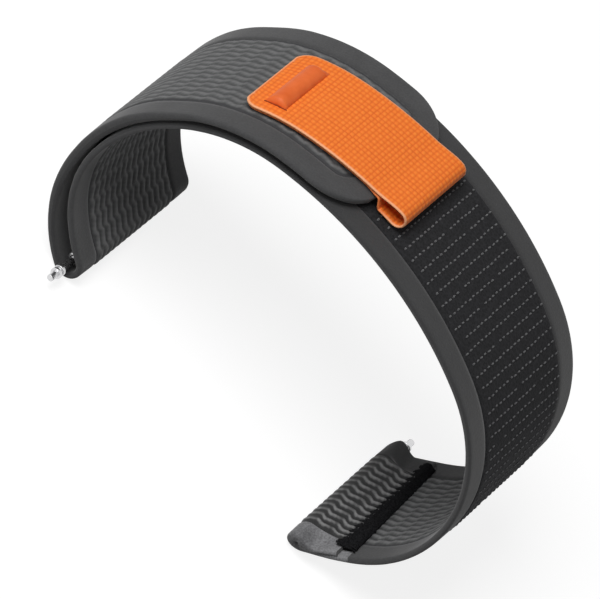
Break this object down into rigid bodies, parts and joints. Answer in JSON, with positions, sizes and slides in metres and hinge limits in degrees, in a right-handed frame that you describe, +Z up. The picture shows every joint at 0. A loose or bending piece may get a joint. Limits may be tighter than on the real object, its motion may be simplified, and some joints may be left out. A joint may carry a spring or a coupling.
{
  "type": "watch strap",
  "caption": "Woven hook-and-loop watch strap standing as an open arch, with spring bars in its folded ends and a doubled webbing pull tab.",
  "frame": {"origin": "on the ground under the middle of the whole strap's box, the strap standing on its two folded ends", "axes": "+X from the tail's folded end to the sewn end, +Y along the spring bars from the front to the back, +Z up to the arch's top"},
  "size_m": [0.0574, 0.027, 0.0398],
  "materials": {
    "grey_weave": "matt ribbed weave",
    "hook_tape": "matt hook tape",
    "seam_thread": "matt thread",
    "orange_webbing": "matt plain weave",
    "coral_rubber": "satin",
    "bar_steel": "polished",
    "spring_wire": "drawn wire"
  },
  "bodies": {
    "band": {"band_middle": "grey_weave", "left_lug_fold": "grey_weave"},
    "tail_root": {"tail_lower": "grey_weave"},
    "tail_end": {"tail_upper": "grey_weave", "hook_patch": "hook_tape", "pull_tab_base": "orange_webbing", "tab_grip_bar": "coral_rubber"},
    "tab_loop": {"pull_tab_loop": "orange_webbing"},
    "arm": {"arm_upper": "grey_weave"},
    "free_end": {"arm_lower": "grey_weave", "right_lug_fold": "grey_weave", "flap_seam": "seam_thread"},
    "left_bar": {"left_bar_tube": "bar_steel", "left_bar_spring": "spring_wire"},
    "left_front_pin": {"left_bar_front_plunger": "bar_steel"},
    "left_back_pin": {"left_bar_back_plunger": "bar_steel"},
    "right_bar": {"right_bar_tube": "bar_steel", "right_bar_spring": "spring_wire"},
    "right_front_pin": {"right_bar_front_plunger": "bar_steel"},
    "right_back_pin": {"right_bar_back_plunger": "bar_steel"}
  },
  "joints": [
    {"name": "tail_peel", "type": "hinge", "parent": "band", "child": "tail_root", "pos_m": [-0.02493, 0.0011, 0.0033], "axis": [0, -1, 0], "range_deg": [0, 95]},
    {"name": "tail_curl", "type": "hinge", "parent": "tail_root", "child": "tail_end", "pos_m": [-0.02639, 0.0011, 0.02527], "axis": [0, -1, 0], "range_deg": [0, 34]},
    {"name": "tab_lift", "type": "hinge", "parent": "tail_end", "child": "tab_loop", "pos_m": [-0.00436, 0.0011, 0.03924], "axis": [0, -1, 0], "range_deg": [0, 60]},
    {"name": "arm_flex", "type": "hinge", "parent": "band", "child": "arm", "pos_m": [0.00822, 0.0011, 0.03628], "axis": [0, -1, 0], "range_deg": [-8, 35]},
    {"name": "end_flex", "type": "hinge", "parent": "arm", "child": "free_end", "pos_m": [0.02793, 0.0011, 0.02146], "axis": [0, -1, 0], "range_deg": [-5, 21.5]},
    {"name": "left_bar_spin", "type": "hinge", "parent": "band", "child": "left_bar", "pos_m": [-0.02017, -0.0017, 0.00162], "axis": [0, 1, 0], "continuous": true},
    {"name": "left_front_press", "type": "slide", "parent": "left_bar", "child": "left_front_pin", "axis": [0, 1, 0], "range_m": [0, 0.0013], "stiffness_N_per_m": 800, "springref_m": -0.0008, "deforming": ["left_bar_spring"]},
    {"name": "left_back_press", "type": "slide", "parent": "left_bar", "child": "left_back_pin", "axis": [0, -1, 0], "range_m": [0, 0.0013], "stiffness_N_per_m": 800, "springref_m": -0.0008, "deforming": ["left_bar_spring"]},
    {"name": "right_bar_spin", "type": "hinge", "parent": "free_end", "child": "right_bar", "pos_m": [0.01927, 0.0017, 0.00153], "axis": [0, 1, 0], "continuous": true},
    {"name": "right_front_press", "type": "slide", "parent": "right_bar", "child": "right_front_pin", "axis": [0, 1, 0], "range_m": [0, 0.0013], "stiffness_N_per_m": 800, "springref_m": -0.0008, "deforming": ["right_bar_spring"]},
    {"name": "right_back_press", "type": "slide", "parent": "right_bar", "child": "right_back_pin", "axis": [0, -1, 0], "range_m": [0, 0.0013], "stiffness_N_per_m": 800, "springref_m": -0.0008, "deforming": ["right_bar_spring"]}
  ],
  "couplings": [
    {"joint": "tail_curl", "follows": "tail_peel", "ratio": 0.35},
    {"joint": "end_flex", "follows": "arm_flex", "ratio": 0.6}
  ]
}
